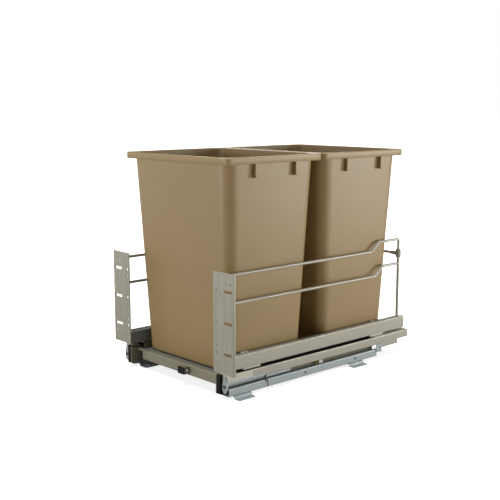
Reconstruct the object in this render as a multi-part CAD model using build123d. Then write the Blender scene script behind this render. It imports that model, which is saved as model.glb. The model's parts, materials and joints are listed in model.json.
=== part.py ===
from build123d import *
import os
from math import radians, tan

# Pull-out recycling unit for a kitchen base cabinet, in millimetres.
# While it is modelled, X runs across with 0 in the middle, Y runs back from the front face of the
# door brackets and Z runs up from the cabinet floor. The right side is drawn and mirrored to the left.

# Bins
bin_width = 347.5  # over the rim, across the unit
bin_depth = 272.0  # over the rim, front to back
bin_top = 489.0
bin_wall = 2.2
bin_draft = 2.82  # degrees on each side
body_corner = 30.0
floor_corner = 25.0
floor_edge = 10.0
rim_height = 13.8
rim_overhang = 10.0
rim_corner = 13.0
rim_edge = 0.8
bin_gap = 2.4  # between the two rims
bin_setback = 14.8  # front rim behind the bracket face
bin_lift = 0.2  # air under a seated bin
lug_spacing = 114.0
lug_width = 5.5
lug_height = 28.5
lug_reach = 8.6

# Folded steel
sheet = 1.5
bend = 2.5  # outer bend radius

# Bin seat
seat_level = 40.0
seat_bearing = 15.6  # how far a support reaches under a bin floor
front_bar_face = 22.0
bar_rise = 4.5  # front bar's top edge above the seat
bar_height = 23.5
bar_lip = 9.0
hem_width = 8.0  # turned-in top edge of the front bar and the side panels
rear_bar_lap = 36.0
support_drop = 8.0
strip_leg = 12.0
ear_rise = 6.5  # front corner of an ear above the bar's top edge
ear_drop = 9.0  # lower edge of an ear below the bar
ear_depth = 14.5  # rear corner of an ear behind the bar's face
ear_slant = 4.5
bar_notch = 19.0  # open end of the bar's face beside an ear
notch_roof = 4.0

# Side panels
panel_height = 28.7
bin_side_room = 2.6  # between a bin and the ledge
ledge_width = 20.5
panel_rear_room = 22.6  # panel end behind the rear rim
spacer_width = 12.0
spacer_length = 47.0
front_spacer = 62.0
rear_spacer_setback = 123.8  # from the panel's rear end

# Slides
slide_play = 0.3
drawer_rail_width = 25.0
drawer_rail_height = 19.6
drawer_rail_front = 42.0
drawer_rail_outset = 8.3  # outer face beyond the panel
drawer_rail_overrun = 6.3  # rear end behind the panel
rail_lip = 6.5
rail_step = 38.1  # shorter lower part at the rear end
rail_step_rise = 2.1
skirt_length = 67.6
skirt_clearance = 0.6
panel_slot = 4.4  # open slot between panel and drawer rail
cabinet_rail_width = 27.0
cabinet_rail_height = 17.0
cabinet_rail_front = 14.0
cabinet_rail_length = 460.0
rail_gap = 9.4  # between cabinet rail and drawer rail
seam_position = 107.0
seam_width = 1.2
seam_depth = 0.6
side_hole_radius = 2.6
side_hole_first = 220.6
side_hole_pitch = 163.4
tab_length = 19.0
tab_overrun = 16.0
tab_height = 16.5
tab_rise = 10.4  # above the rail
tab_hole_radius = 2.5
tab_flange = 5.5
ear_length = 6.0
ear_height = 8.0
runner_web = 2.0
runner_setback = 6.0
runner_rear_room = 2.0
runner_stop_room = 9.0  # behind the guide strip
runner_stop_length = 72.0
runner_stop_reach = 7.0
pull_out_travel = 450.0
lower_carriage_start = 140.0
lower_carriage_length = 200.0
upper_carriage_start = 160.0
upper_carriage_length = 280.0
carriage_wall = 1.7
carriage_slot = 7.0
rollers_per_row = 3
long_roller = 6.0
short_roller = 3.2
buffer_position = 289.5
buffer_length = 13.0
buffer_height = 7.4
buffer_reach = 6.5
buffer_pin_radius = 2.2
buffer_pin_reach = 8.0
buffer_pin_gap = 8.8

# Feet
foot_lift = 7.0
foot_inner_flange = 24.0
foot_outer_flange = 17.0
foot_room = 1.0
foot_length = 47.0
front_foot = 51.0
rear_foot = 401.0
foot_corner = 5.0
foot_hole_radius = 2.6
foot_hole_edge = 8.0
rivet_radius = 2.0
rivet_head_radius = 4.0
rivet_head = 1.0
rivet_pitch = 26.0
hole_play = 0.05
rivet_play = 0.1
rivet_sink = 0.3

# Door brackets
bracket_sheet = 2.0
bracket_width = 62.0
bracket_height = 207.8
bracket_bottom = 57.8
bracket_overlap = 2.2  # inner edge inside the ledge
bracket_lip = 6.0
bracket_corner = 2.0
hole_drop = 101.65  # middle row of holes below the bracket's top
slot_length = 28.5
slot_width = 5.6
slot_pitch = 64.0
slot_edge = 18.5
round_hole_edge = 9.0
round_hole_radius = 3.0
small_hole_radius = 2.2
small_hole_pitch = 100.0
pair_pitch = 160.6
pair_first = 10.5
pair_second = 24.0
stud_radius = 2.2
stud_head_radius = 4.2
stud_head = 2.4
stud_edge = 12.0
stud_pitch = 11.0

# Gallery wires
wire_radius = 3.2
wire_inset = 4.7  # axis inside the panel's outer face
wire_drop = 11.3  # upper wire below the bracket's top
wire_pitch = 58.7
wire_step = 21.0
wire_step_run = 26.0
step_setback = 98.1
lower_step_shift = 14.0
post_setback = 21.0
wire_bend = 5.0
cross_wire_share = 0.416  # of the way from the lower wire to the upper one
clip_radius = 6.4
clip_height = 20.0
clip_taper = 5.0
clip_reach = 20.0
clip_mouth = 4.2

# Front couplings and locks
coupling_sheet = 1.2
coupling_front = 10.0
coupling_length = 68.5
coupling_rise = 4.6  # lower edge above the drawer rail's
guide_length = 103.0
guide_drop = 6.0
guide_inset = 4.7
coupling_foot = 23.5
lock_front = 3.4
lock_width = 12.2
lock_rise = 5.0  # above the cabinet rail's underside
lock_drop = 1.0  # below the drawer rail's top
lock_lap = 1.7  # inner face inside the drawer rail
lock_edge = 1.2
lever_sheet = 2.0
lever_play = 0.4
lever_room = 1.2  # beside the lock at rest
lever_reach = 22.0  # above the pivot
lever_tail = 14.0  # below the pivot
lever_width = 15.0
lever_shoulder = 6.0
lever_tip = 4.0
lever_toe = 7.0
lever_corner = 1.5
pivot_rise = 17.0  # above the lock's lower end
pivot_radius = 2.4
pivot_head_radius = 3.6
pivot_head = 1.2
pivot_bore = 1.7
pivot_play = 0.05  # between the pivot and the lever, all round

# Socket on the front bar
socket_offset = 27.0
socket_width = 21.5
socket_height = 15.5
socket_depth = 12.5
socket_wall = 1.5
insert_head = 1.6
screw_head_radius = 3.0
screw_head = 1.8

# Ledge screws
ledge_screw_radius = 3.8
ledge_screw_head = 2.6
ledge_screw_first = 73.0
ledge_screw_pitch = 9.5
ledge_screw_rear = 98.8
ledge_screw_inset = 5.0

# Worked out from the sizes above
slope = tan(radians(bin_draft))
rim_underside = bin_top - rim_height
bin_bottom = seat_level + bin_lift


def body_inset(level):
    """How far the bin wall stands inside the rim edge at a height."""
    return rim_overhang + slope * (rim_underside - level)


front_bin = bin_setback
rear_bin = bin_setback + bin_depth + bin_gap
rear_rim = rear_bin + bin_depth
floor_inset = body_inset(seat_level)
bar_top = seat_level + bar_rise
cabinet_bottom = foot_lift
cabinet_top = cabinet_bottom + cabinet_rail_height
drawer_bottom = cabinet_top + rail_gap
drawer_top = drawer_bottom + drawer_rail_height
panel_bottom = drawer_top + panel_slot
panel_top = panel_bottom + panel_height
ledge_inner = bin_width / 2 - body_inset(panel_top) + bin_side_room
panel_outer = ledge_inner + ledge_width
panel_rear = rear_rim + panel_rear_room
wire_across = panel_outer - wire_inset
post_back = panel_rear - post_setback
drawer_outer = panel_outer + drawer_rail_outset
drawer_inner = drawer_outer - drawer_rail_width
drawer_rear = panel_rear + drawer_rail_overrun
slide_middle = (drawer_outer + drawer_inner) / 2
cabinet_outer = slide_middle + cabinet_rail_width / 2
cabinet_inner = slide_middle - cabinet_rail_width / 2
cabinet_rear = cabinet_rail_front + cabinet_rail_length
runner_flange = drawer_rail_width - 2 * (sheet + carriage_wall + 2 * slide_play)
lower_flange = (cabinet_bottom + cabinet_top) / 2
upper_flange = (drawer_bottom + drawer_top) / 2
bracket_inner = ledge_inner - bracket_overlap
bracket_outer = bracket_inner + bracket_width
bracket_top = bracket_bottom + bracket_height
hole_level = bracket_top - hole_drop
upper_wire = bracket_top - wire_drop
lower_wire = upper_wire - wire_pitch
cross_wire = lower_wire + wire_step + cross_wire_share * wire_pitch
lock_inner = drawer_inner - lock_lap
lock_bottom = cabinet_bottom + lock_rise
lock_top = drawer_top - lock_drop
lever_pivot_height = lock_bottom + pivot_rise
lever_back = coupling_front - lever_play
lever_front = lever_back - lever_sheet
pivot_across = lock_inner + lock_width + lever_room + lever_width / 2
part_front = 0.0
part_middle = (part_front + drawer_rear) / 2


def mirrored(solid):
    """The left-hand twin of a right-hand piece."""
    return mirror(solid, about=Plane.YZ)


def folded(points, thickness, radius):
    """A sheet profile with the thickness on the left of its line."""
    line = FilletPolyline(*points, radius=radius)
    return make_face(offset(line, amount=thickness, side=Side.LEFT, closed=True))


def along_y(profile, start, end):
    """A profile in X and Z, run from one depth to another."""
    return extrude(Plane.XZ.offset(-start) * profile, amount=start - end)


def along_x(profile, start, end):
    """A profile in Y and Z, run from one side to the other."""
    return extrude(Plane.YZ.offset(start) * profile, amount=end - start)


def along_z(profile, start, end):
    """A profile in X and Y, run from one height to another."""
    return extrude(Plane.XY.offset(start) * profile, amount=end - start)


def area(low, high):
    """A rectangle from its low corner to its high corner."""
    size = (high[0] - low[0], high[1] - low[1])
    return Pos(low[0] + size[0] / 2, low[1] + size[1] / 2) * Rectangle(*size)


def rod_x(radius, start, end, y, z):
    """A round bar across the unit."""
    return along_x(Pos(y, z) * Circle(radius), start, end)


def rod_y(radius, start, end, x, z):
    """A round bar along the depth."""
    return along_y(Pos(x, z) * Circle(radius), start, end)


def rod_z(radius, start, end, x, y):
    """An upright round bar."""
    return along_z(Pos(x, y) * Circle(radius), start, end)


def bin_outline(level, corner, wall):
    """The bin's rounded outline at a height, moved in by a wall."""
    inset = body_inset(level) + wall
    return Plane.XY.offset(level) * RectangleRounded(
        bin_width - 2 * inset, bin_depth - 2 * inset, corner - wall
    )


def bin_lugs():
    """Ribs under the rim at both short ends, which hold a bag's edge."""
    reach = bin_width / 2 - rim_overhang + lug_reach
    root = bin_width / 2 - body_inset(rim_underside - lug_height) - bin_wall / 2
    top = bin_top - bin_wall / 2
    bottom = rim_underside - lug_height
    slant = lug_reach * 0.6
    foot_corners = [(root, bottom), (reach - slant, bottom), (reach, bottom + slant)]
    side = Polygon((root, top), *foot_corners, (reach, top), align=None)
    lugs = []
    for middle in (-lug_spacing / 2, lug_spacing / 2):
        right = along_y(side, middle - lug_width / 2, middle + lug_width / 2)
        lugs += [right, mirrored(right)]
    return lugs


def waste_bin(front):
    """A drafted open bin with a hollow turned-down rim, its front rim edge at the given depth."""
    body = loft([bin_outline(bin_bottom, floor_corner, 0), bin_outline(bin_top, body_corner, 0)])
    body = fillet(body.faces().sort_by(Axis.Z)[0].edges(), floor_edge)
    skirt = RectangleRounded(bin_width, bin_depth, rim_corner)
    inside = RectangleRounded(bin_width - 2 * bin_wall, bin_depth - 2 * bin_wall, rim_corner - bin_wall)
    rim = along_z(skirt, rim_underside, bin_top) - along_z(inside, rim_underside, bin_top - bin_wall)
    rim = fillet(rim.faces().sort_by(Axis.Z)[-1].edges(), rim_edge)
    hollow = loft(
        [
            bin_outline(bin_bottom + bin_wall, floor_corner, bin_wall),
            bin_outline(bin_top + bin_wall, body_corner, bin_wall),
        ]
    )
    hollow = fillet(hollow.faces().sort_by(Axis.Z)[0].edges(), floor_edge - bin_wall)
    whole = body + rim + bin_lugs() - hollow
    return Pos(0, front + bin_depth / 2, 0) * whole


def front_bar():
    """A folded bar with a turned-in top edge, and an ear at each end that holds the lock."""
    low = bar_top - bar_height
    line = [
        (front_bar_face + hem_width, bar_top),
        (front_bar_face, bar_top),
        (front_bar_face, low),
        (front_bar_face + bar_lip, low),
    ]
    bar = along_x(folded(line, sheet, bend), -lock_inner, lock_inner)
    open_end = area((lock_inner - bar_notch, low - 1), (lock_inner + 1, bar_top - notch_roof))
    notch = along_y(open_end, front_bar_face - 1, front_bar_face + bar_lip + 1)
    ear = bar_ear()
    return bar - notch - mirrored(notch) + ear + mirrored(ear)


def bar_ear():
    """The end of the front bar beside a lock, which reaches forward and down."""
    back = front_bar_face + ear_depth
    low = bar_top - bar_height - ear_drop
    roof = bar_top - sheet / 2
    lower_edge = [(lock_front, low), (back - bend, low), (back, bar_top - bar_height + bend)]
    upper_edge = [(back - ear_slant, bar_top - notch_roof), (back - ear_slant - bend, roof), (front_bar_face, roof)]
    outline = Polygon(*lower_edge, *upper_edge, (lock_front, bar_top + ear_rise), align=None)
    return along_x(outline, lock_inner - sheet, lock_inner)


def seat_strip():
    """A plated angle behind the front bar, which carries the front edge of the front bin."""
    reach = front_bin + floor_inset + seat_bearing
    back = front_bar_face + sheet
    line = [(reach, seat_level), (back, seat_level), (back, seat_level - strip_leg)]
    shelf = along_x(folded(line, sheet, bend), -drawer_inner, drawer_inner)
    open_end = area((lock_inner - bar_notch, 0), (drawer_inner + 1, drawer_rail_front))
    notch = along_z(open_end, 0, bar_top)
    return shelf - notch - mirrored(notch)


def middle_support():
    """A folded cross support under the facing edges of both bins."""
    start = front_bin + bin_depth - floor_inset - seat_bearing
    end = rear_bin + floor_inset + seat_bearing
    low = seat_level - support_drop
    line = [(end, low), (end, seat_level), (start, seat_level), (start, low)]
    return along_x(folded(line, sheet, bend), -drawer_inner, drawer_inner)


def rear_bar():
    """A folded bar under the rear edge of the rear bin, with an upright edge behind it."""
    start = rear_rim - floor_inset - seat_bearing
    end = rear_rim - floor_inset + rear_bar_lap
    line = [(end, panel_bottom - slide_play), (end, seat_level), (start, seat_level)]
    return along_x(folded(line, sheet, bend), -drawer_inner, drawer_inner)


def side_panel():
    """A folded band with a turned-in top edge and a flange behind the door bracket."""
    line = [(panel_outer, panel_bottom), (panel_outer, panel_top), (panel_outer - hem_width, panel_top)]
    band = along_y(folded(line, sheet, bend), bracket_sheet, panel_rear)
    flange = area((ledge_inner, bracket_bottom), (panel_outer - sheet / 2, panel_top - sheet / 2))
    band += along_y(flange, bracket_sheet, bracket_sheet + sheet)
    for level in stud_levels():
        band -= rod_y(stud_radius + hole_play, 0, bracket_sheet + sheet + 1, stud_across(), level)
    return band


def panel_spacers():
    """Moulded blocks that carry the panel on the drawer rail, as a group."""
    block = area((panel_outer - spacer_width, drawer_top), (panel_outer, panel_bottom))
    starts = (front_spacer, panel_rear - rear_spacer_setback)
    return Compound([along_y(block, start, start + spacer_length) for start in starts])


def ledge_top():
    """The height of the ledge, which lies under the panel's turned-in edge."""
    return panel_top - sheet


def side_ledge():
    """A plated angle along the inside of the panel, whose inner leg stands beside the bins."""
    line = [(panel_outer - bend, ledge_top()), (ledge_inner, ledge_top()), (ledge_inner, panel_bottom)]
    return along_y(folded(line, sheet, bend), bracket_sheet + sheet, panel_rear)


def drawer_rail():
    """The painted channel of the slide, with a stepped rear end and a short skirt."""
    line = [
        (drawer_inner + rail_lip, drawer_bottom),
        (drawer_inner, drawer_bottom),
        (drawer_inner, drawer_top),
        (drawer_outer, drawer_top),
        (drawer_outer, drawer_bottom),
        (drawer_outer - rail_lip, drawer_bottom),
    ]
    rail = along_y(folded(line[::-1], sheet, bend), drawer_rail_front, drawer_rear)
    step = area((drawer_inner - 1, 0), (drawer_outer + 1, drawer_bottom + rail_step_rise))
    rail -= along_y(step, drawer_rear - rail_step, drawer_rear + 1)
    skirt_end = drawer_rear - rail_step
    skirt = area((drawer_outer - sheet, cabinet_top + skirt_clearance), (drawer_outer, drawer_bottom + bend))
    return rail + along_y(skirt, skirt_end - skirt_length, skirt_end)


def cabinet_rail():
    """The plated channel that stays in the cabinet, with an upright tab at its rear end."""
    line = [
        (cabinet_inner + rail_lip, cabinet_top),
        (cabinet_inner, cabinet_top),
        (cabinet_inner, cabinet_bottom),
        (cabinet_outer, cabinet_bottom),
        (cabinet_outer, cabinet_top),
        (cabinet_outer - rail_lip, cabinet_top),
    ]
    rail = along_y(folded(line, sheet, bend), cabinet_rail_front, cabinet_rear)
    seam = cabinet_rail_front + seam_position
    groove = area((cabinet_outer - seam_depth, 0), (cabinet_outer + 1, cabinet_top + 1))
    rail -= along_y(groove, seam, seam + seam_width)
    for index in range(2):
        depth = cabinet_rail_front + side_hole_first + index * side_hole_pitch
        rail -= rod_x(side_hole_radius, slide_middle, cabinet_outer + 1, depth, lower_flange)
    for depth in foot_depths():
        for rivet in rivet_depths(depth):
            rail -= rod_z(rivet_radius + rivet_play, 0, lower_flange, slide_middle, rivet)
    return rail + rear_tab() + stop_ear()


def rear_tab():
    """An upright plate with a hole on the rear end of the cabinet rail, and its small flange."""
    middle = cabinet_top + tab_rise - tab_height / 2
    low = middle - tab_height / 2
    end = cabinet_rear + tab_overrun
    outline = Pos(end - tab_length / 2, middle) * RectangleRounded(tab_length, tab_height, bend)
    hole = Pos(end - tab_overrun / 2, middle) * Circle(tab_hole_radius)
    plate = along_x(outline - hole, cabinet_outer, cabinet_outer + sheet)
    flange = area((cabinet_outer + sheet / 2, low), (cabinet_outer + tab_flange, low + sheet))
    return plate + along_y(flange, end - tab_overrun, end - bend)


def stop_ear():
    """A small ear at the seam of the cabinet rail."""
    start = cabinet_rail_front + seam_position - ear_length
    outline = Pos(cabinet_outer + sheet / 2, cabinet_top) * Rectangle(sheet, ear_height)
    return along_y(outline, start, start + ear_length)


def middle_runner():
    """The runner between the two channels, a web with a flange in each of them and a stop strip."""
    web = area((slide_middle - runner_web / 2, lower_flange), (slide_middle + runner_web / 2, upper_flange))
    profile = web
    for level in (lower_flange, upper_flange):
        profile += Pos(slide_middle, level) * Rectangle(runner_flange, sheet)
    start = cabinet_rail_front + runner_setback
    runner = along_y(profile, start, cabinet_rear - runner_rear_room) + runner_stop()
    hole = buffer_pin_radius + hole_play
    return runner - rod_x(hole, cabinet_inner, cabinet_outer, buffer_pin_depth(), buffer_level())


def runner_stop():
    """An angle on the outer side of the middle runner, in the gap between the channels."""
    start = slide_middle + runner_web / 2
    outer = start + runner_stop_reach
    low = cabinet_top + sheet
    angle = folded([(start, low), (outer, low), (outer, drawer_bottom - sheet / 2)], sheet, bend)
    front = coupling_front + guide_length + runner_stop_room
    return along_y(angle, front, front + runner_stop_length)


def carriage_levels(lower):
    """The closed side, the flange and the lips of the channel that a carriage runs in."""
    if lower:
        return cabinet_bottom + sheet, lower_flange, cabinet_top - sheet
    return drawer_top - sheet, upper_flange, drawer_bottom + sheet


def carriage_span(lower):
    """Where a carriage starts and ends along the depth, at rest."""
    if lower:
        return lower_carriage_start, lower_carriage_start + lower_carriage_length
    return upper_carriage_start, upper_carriage_start + upper_carriage_length


def carriage_half_width(lower):
    """Half the width of a carriage, which runs inside its channel."""
    width = cabinet_rail_width if lower else drawer_rail_width
    return width / 2 - sheet - slide_play


def roller_rows(lower):
    """For each row of rollers: its middle across, its length, its height and its radius."""
    closed, flange, lips = carriage_levels(lower)
    way = 1 if lower else -1
    under = flange - way * sheet / 2
    over = flange + way * sheet / 2
    radius_closed = abs(under - closed) / 2 - slide_play
    radius_lips = abs(lips - over) / 2 - slide_play
    lip_middle = carriage_half_width(lower) - carriage_wall - short_roller / 2 - slide_play
    rows = []
    for side in (-1, 1):
        across = slide_middle + side * runner_flange / 4
        rows.append((across, long_roller, (closed + under) / 2, radius_closed))
        across = slide_middle + side * lip_middle
        rows.append((across, short_roller, (over + lips) / 2, radius_lips))
    return rows


def roller_depths(lower):
    """The depths of the rollers of a row."""
    start, end = carriage_span(lower)
    pitch = (end - start) / rollers_per_row
    return [start + pitch * (index + 0.5) for index in range(rollers_per_row)]


def carriage(lower):
    """A moulded cage round a runner flange, with a pocket for each roller."""
    closed, flange, lips = carriage_levels(lower)
    way = 1 if lower else -1
    relief = 3 * slide_play
    half = carriage_half_width(lower)
    low, high = closed + way * relief, lips - way * relief
    bottom, top = min(low, high), max(low, high)
    profile = area((slide_middle - half, bottom), (slide_middle + half, top))
    slot = sheet + 2 * relief
    profile -= Pos(slide_middle, flange) * Rectangle(2 * (half - carriage_wall), slot)
    profile -= Pos(slide_middle, (flange + lips) / 2) * Rectangle(carriage_slot, abs(lips - flange))
    cage = along_y(profile, *carriage_span(lower))
    for across, length, level, radius in roller_rows(lower):
        for depth in roller_depths(lower):
            pocket = Box(length + 2 * slide_play, 2 * (radius + slide_play), 2 * (radius + slide_play))
            cage -= Pos(across, depth, level) * pocket
    return cage


def carriage_rollers(lower):
    """The rollers of one carriage, as a group."""
    rollers = []
    for across, length, level, radius in roller_rows(lower):
        for depth in roller_depths(lower):
            rollers.append(rod_x(radius, across - length / 2, across + length / 2, depth, level))
    return Compound(rollers)


def buffer_level():
    """The middle of the gap between the two channels."""
    return (cabinet_top + drawer_bottom) / 2


def buffer_pin_depth():
    """The pin stands in front of the buffer."""
    return buffer_position - buffer_length / 2 - buffer_pin_gap


def runner_buffer():
    """A moulded buffer on the outer side of the middle runner."""
    start = slide_middle + runner_web / 2
    outline = Pos(buffer_position, buffer_level()) * RectangleRounded(buffer_length, buffer_height, bend)
    return along_x(outline, start, start + buffer_reach)


def buffer_pin():
    """A pin through the web of the middle runner, with a head on its inner side."""
    start = slide_middle - runner_web / 2
    end = slide_middle + runner_web / 2 + buffer_pin_reach
    head = rod_x(buffer_pin_radius + 1, start - sheet, start, buffer_pin_depth(), buffer_level())
    return head + rod_x(buffer_pin_radius, start - sheet, end, buffer_pin_depth(), buffer_level())


def foot_depths():
    """The middles of the feet along the depth."""
    return front_foot, rear_foot


def rivet_depths(foot):
    """The depths of the two rivets of a foot."""
    return foot - rivet_pitch / 2, foot + rivet_pitch / 2


def foot_edges():
    """The inner and outer edges of a foot."""
    return cabinet_inner - foot_inner_flange, cabinet_outer + foot_outer_flange


def foot_hole_across():
    """Where the screw holes of a foot are, across the unit."""
    inner, outer = foot_edges()
    return inner + foot_hole_edge, outer - foot_hole_edge


def foot(depth):
    """A hat-shaped foot under the cabinet rail, with a floor flange on both sides."""
    inner, outer = foot_edges()
    left = cabinet_inner - foot_room
    right = cabinet_outer + foot_room
    rise = foot_lift - sheet
    line = [(inner, 0), (left, 0), (left, rise), (right, rise), (right, 0), (outer, 0)]
    hat = along_y(folded(line, sheet, bend), depth - foot_length / 2, depth + foot_length / 2)
    plan = RectangleRounded(outer - inner, foot_length, foot_corner)
    hat = hat & along_z(Pos((inner + outer) / 2, depth) * plan, -1, foot_lift + 1)
    for across in foot_hole_across():
        hat -= rod_z(foot_hole_radius, -1, foot_lift, across, depth)
    for rivet in rivet_depths(depth):
        hat -= rod_z(rivet_radius + rivet_play, 0, foot_lift + 1, slide_middle, rivet)
    return hat


def foot_rivet():
    """A rivet with a domed head at its lower end, standing on the vertical axis."""
    under = foot_lift - sheet
    low = under - rivet_head
    end = cabinet_bottom + sheet - rivet_sink
    head = [(0, low), (rivet_radius, low), (rivet_head_radius, under)]
    shank = [(rivet_radius, under), (rivet_radius, end), (0, end)]
    return revolve(Plane.XZ * Polygon(*head, *shank, align=None), Axis.Z)


def foot_rivets():
    """Rivets from under the feet of one side, sunk into the floor of its cabinet rail."""
    rivets = []
    for depth in foot_depths():
        for rivet in rivet_depths(depth):
            rivets.append(Pos(slide_middle, rivet, 0) * Rot(0, 0, 45) * foot_rivet())
    return Compound(rivets)


def stud_across():
    """Where the bracket studs are, across the unit."""
    return bracket_inner + stud_edge


def stud_levels():
    """The heights of the two studs that hold a bracket to its panel."""
    middle = (bracket_bottom + ledge_top() - sheet) / 2
    return middle - stud_pitch / 2, middle + stud_pitch / 2


def bracket_holes():
    """Slots and round holes of a door bracket, as one sketch in X and Z."""
    slot_middle = bracket_outer - slot_edge
    hole_middle = bracket_inner + round_hole_edge
    holes = []
    for level in (-slot_pitch, 0, slot_pitch):
        holes.append(Pos(slot_middle, hole_level + level) * SlotOverall(slot_length, slot_width))
        holes.append(Pos(hole_middle, hole_level + level) * Circle(round_hole_radius))
    for way in (-1, 1):
        level = hole_level + way * small_hole_pitch / 2
        holes.append(Pos(hole_middle, level) * Circle(small_hole_radius))
        for edge in (pair_first, pair_second):
            level = hole_level + way * pair_pitch / 2
            holes.append(Pos(bracket_outer - edge, level) * Circle(small_hole_radius))
    for level in stud_levels():
        holes.append(Pos(stud_across(), level) * Circle(stud_radius + hole_play))
    return Sketch() + holes


def door_bracket():
    """An upright plate for the cabinet door, with a turned-back outer edge."""
    line = [(bracket_inner, 0), (bracket_outer, 0), (bracket_outer, bracket_lip)]
    plate = along_z(folded(line, bracket_sheet, bend), bracket_bottom, bracket_top)
    outline = Pos((bracket_inner + bracket_outer) / 2, (bracket_bottom + bracket_top) / 2)
    outline *= RectangleRounded(bracket_width, bracket_height, bracket_corner)
    plate = plate & along_y(outline, -1, bracket_lip + 1)
    return plate - along_y(bracket_holes(), -1, bracket_sheet + 1)


def bracket_studs():
    """Flush studs that hold both brackets to their panels, with a nut behind."""
    studs = []
    back = bracket_sheet + sheet
    for level in stud_levels():
        shank = rod_y(stud_radius, 0, back + stud_head, stud_across(), level)
        stud = shank + rod_y(stud_head_radius, back, back + stud_head, stud_across(), level)
        studs += [stud, mirrored(stud)]
    return Compound(studs)


def wire(points):
    """A round wire along a line in Y and Z."""
    route = [(wire_across, y, z) for y, z in points]
    path = FilletPolyline(*route, radius=wire_bend)
    start = Plane(route[0], z_dir=path.tangent_at(0))
    return sweep(start * Circle(wire_radius), path=path)


def upper_gallery_wire():
    """The top wire, stepped up near the rear and bent down onto the ledge."""
    step = post_back - step_setback
    high = upper_wire + wire_step
    points = [
        (bracket_sheet, upper_wire),
        (step, upper_wire),
        (step + wire_step_run, high),
        (post_back, high),
        (post_back, panel_top),
    ]
    return wire(points)


def lower_gallery_wire():
    """The lower wire, from the door bracket to the rear post."""
    step = post_back - step_setback + lower_step_shift
    high = lower_wire + wire_step
    points = [
        (bracket_sheet, lower_wire),
        (step, lower_wire),
        (step + wire_step_run, high),
        (post_back - wire_radius, high),
    ]
    return wire(points)


def wire_clip():
    """A moulded barrel round the rear post, with a tapered socket for the cross wire."""
    half = clip_height / 2
    waist = half - clip_taper
    end_radius = clip_radius - 1
    side = [(end_radius, -half), (clip_radius, -waist), (clip_radius, waist), (end_radius, half)]
    barrel = revolve(Plane.XZ * Polygon((0, -half), *side, (0, half), align=None), Axis.Z)
    cone = Polygon((0, 0), (-clip_reach, 0), (-clip_reach, clip_mouth), (0, end_radius), align=None)
    body = Pos(wire_across, post_back, cross_wire) * (barrel + revolve(Plane.XZ * cone, Axis.X))
    hole = wire_radius + hole_play
    body -= rod_z(hole, cross_wire - clip_height, cross_wire + clip_height, wire_across, post_back)
    return body - rod_x(hole, wire_across - clip_reach - 1, wire_across, post_back, cross_wire)


def rear_cross_wire():
    """The wire across the back, between the two clips."""
    reach = wire_across - wire_radius
    return rod_x(wire_radius, -reach, reach, post_back, cross_wire)


def front_coupling():
    """A painted bracket round the front of the drawer rail."""
    outer = drawer_outer + coupling_sheet
    side = area((drawer_outer, drawer_bottom + coupling_rise), (outer, drawer_top))
    wing = along_y(side, coupling_front, coupling_front + coupling_length)
    plate = area((drawer_inner, coupling_foot), (outer, drawer_top))
    plate -= Pos(pivot_across, lever_pivot_height) * Circle(pivot_radius + hole_play)
    return wing + along_y(plate, coupling_front, coupling_front + sheet)


def guide_strip():
    """A plated strip along the lower edge of the drawer rail, bent in towards the gap."""
    outer = drawer_outer + coupling_sheet
    line = [
        (outer - guide_inset, drawer_bottom - guide_drop),
        (outer, drawer_bottom),
        (outer, drawer_bottom + coupling_rise),
    ]
    start = coupling_front + sheet
    return along_y(folded(line, coupling_sheet, bend), start, coupling_front + guide_length)


def lock_housing():
    """A moulded lock in front of the slide, between the front bar's ear and the lever."""
    pad = area((lock_inner, lock_front), (lock_inner + lock_width, coupling_front))
    block = along_z(pad, lock_bottom, lock_top)
    front_edges = block.edges().filter_by(Axis.Z).group_by(Axis.Y)[0]
    return fillet(front_edges, lock_edge)


def release_lever():
    """A leaf-shaped plate that turns on its pivot in front of the coupling."""
    half = lever_width / 2
    tip = lever_tip / 2
    toe = lever_toe / 2
    right_edge = [(toe, -lever_tail), (half, -lever_shoulder), (half, lever_shoulder), (tip, lever_reach)]
    left_edge = [(-across, level) for across, level in right_edge[::-1]]
    leaf = Polygon(*right_edge, *left_edge, align=None)
    leaf = fillet(leaf.vertices(), lever_corner)
    blade = along_y(Pos(pivot_across, lever_pivot_height) * leaf, lever_front, lever_back)
    hole = pivot_radius + pivot_play
    return blade - rod_y(hole, lever_front - 1, lever_back + 1, pivot_across, lever_pivot_height)


def lever_pivot():
    """A hollow rivet that the release lever turns on."""
    face = lever_front - slide_play
    back = coupling_front + sheet
    head = rod_y(pivot_head_radius, face - pivot_head, face, pivot_across, lever_pivot_height)
    shank = rod_y(pivot_radius, face - pivot_head, back, pivot_across, lever_pivot_height)
    return head + shank - rod_y(pivot_bore, face - pivot_head, back, pivot_across, lever_pivot_height)


def socket_level():
    """The middle height of the socket on the front bar."""
    return bar_top - bar_height / 2


def bar_socket():
    """A square sleeve standing out of the front bar."""
    sleeve = Rectangle(socket_width, socket_height)
    sleeve -= Rectangle(socket_width - 2 * socket_wall, socket_height - 2 * socket_wall)
    start = front_bar_face - socket_depth
    return along_y(Pos(socket_offset, socket_level()) * sleeve, start, front_bar_face)


def socket_insert():
    """A moulded plug that fills the socket, with a head over its front end."""
    mouth = front_bar_face - socket_depth
    width = socket_width - 2 * (socket_wall + hole_play)
    height = socket_height - 2 * (socket_wall + hole_play)
    shank = Pos(socket_offset, socket_level()) * RectangleRounded(width, height, socket_wall)
    head = Pos(socket_offset, socket_level()) * RectangleRounded(socket_width, socket_height, socket_wall)
    return along_y(shank, mouth, front_bar_face) + along_y(head, mouth - insert_head, mouth)


def socket_screw():
    """A screw head on the outer side of the socket."""
    start = socket_offset + socket_width / 2
    depth = front_bar_face - socket_depth / 2
    head = rod_x(screw_head_radius, start, start + screw_head, depth, socket_level())
    return fillet(head.edges().group_by(Axis.X)[-1], screw_head / 2)


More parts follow.
